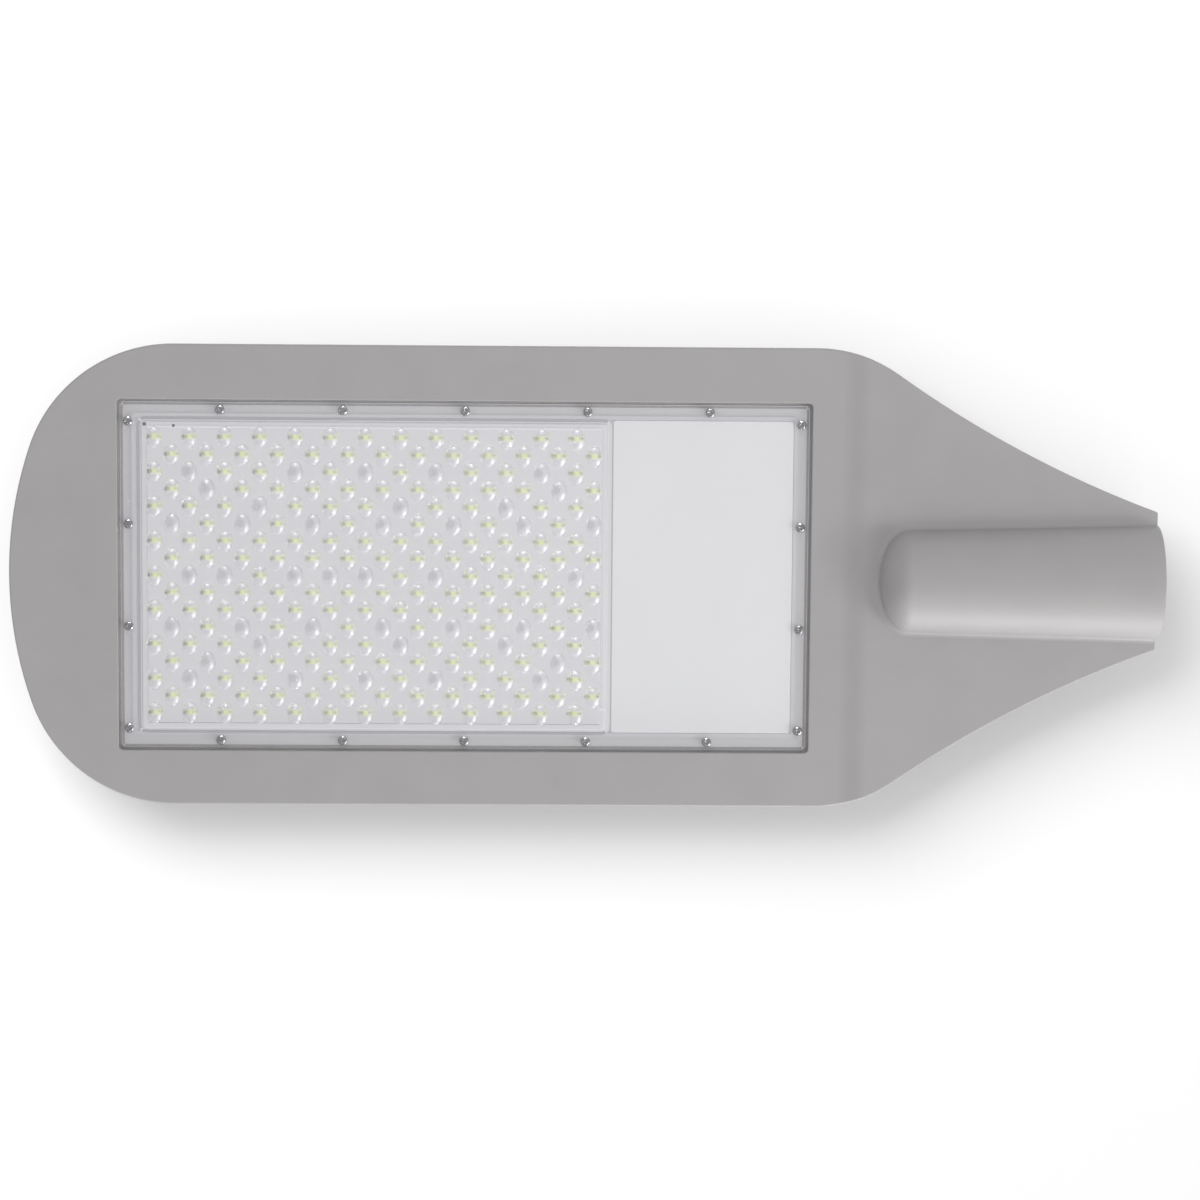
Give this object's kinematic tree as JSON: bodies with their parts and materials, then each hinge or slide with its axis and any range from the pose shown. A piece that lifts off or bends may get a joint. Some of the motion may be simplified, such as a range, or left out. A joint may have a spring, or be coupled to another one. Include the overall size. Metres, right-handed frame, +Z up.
{
  "type": "led street light",
  "caption": "Flat street light head with a tapered neck and pole socket, a clear cover of staggered oval lenses over LEDs, a driver bay and cooling fins on the back.",
  "frame": {"origin": "centre of the pole socket's mouth, on the socket's axis", "axes": "+X out of the socket's mouth, along the pole spigot; +Z up, so the light shines down to -Z; the lamp head reaches to -X"},
  "size_m": [0.72, 0.29, 0.0922],
  "materials": {
    "cast_housing": "grey powder coat on die-cast aluminium, fine satin texture",
    "clear_cover": "clear moulded polycarbonate",
    "seal_rubber": "black silicone rubber",
    "pale_silicone": "pale grey moulded silicone rubber",
    "thermal_pad": "soft grey silicone sheet",
    "white_board": "white solder mask on an aluminium board",
    "led": "yellow phosphor in a white package",
    "white_plate": "white painted sheet",
    "steel": "zinc-plated or stainless steel",
    "driver_metal": "plain aluminium case, potted",
    "black_plastic": "black moulded plastic",
    "white_plastic": "off-white moulded plastic",
    "surge_plastic": "blue potted plastic case",
    "brass": "plated brass",
    "lead_red": "red insulated lead",
    "lead_brown": "brown insulated lead"
  },
  "bodies": {
    "root": {"housing": "cast_housing", "lens_cover": "clear_cover", "cover_gasket": "pale_silicone", "cover_screws": "steel", "led_board": "white_board", "led_packages": "led", "thermal_pad": "thermal_pad", "driver_plate": "white_plate", "driver_case": "driver_metal", "driver_input_cap": "black_plastic", "driver_output_cap": "black_plastic", "driver_screws": "steel", "terminal_block": "white_plastic", "surge_protector": "surge_plastic", "earth_lug": "brass", "earth_screw": "brass", "gland_body": "black_plastic", "gland_nut": "black_plastic", "gland_seal": "seal_rubber", "gland_locknut": "black_plastic", "clamp_bolts": "steel", "clamp_locknuts": "steel", "dc_lead": "lead_red", "mains_lead": "lead_brown"}
  },
  "joints": []
}
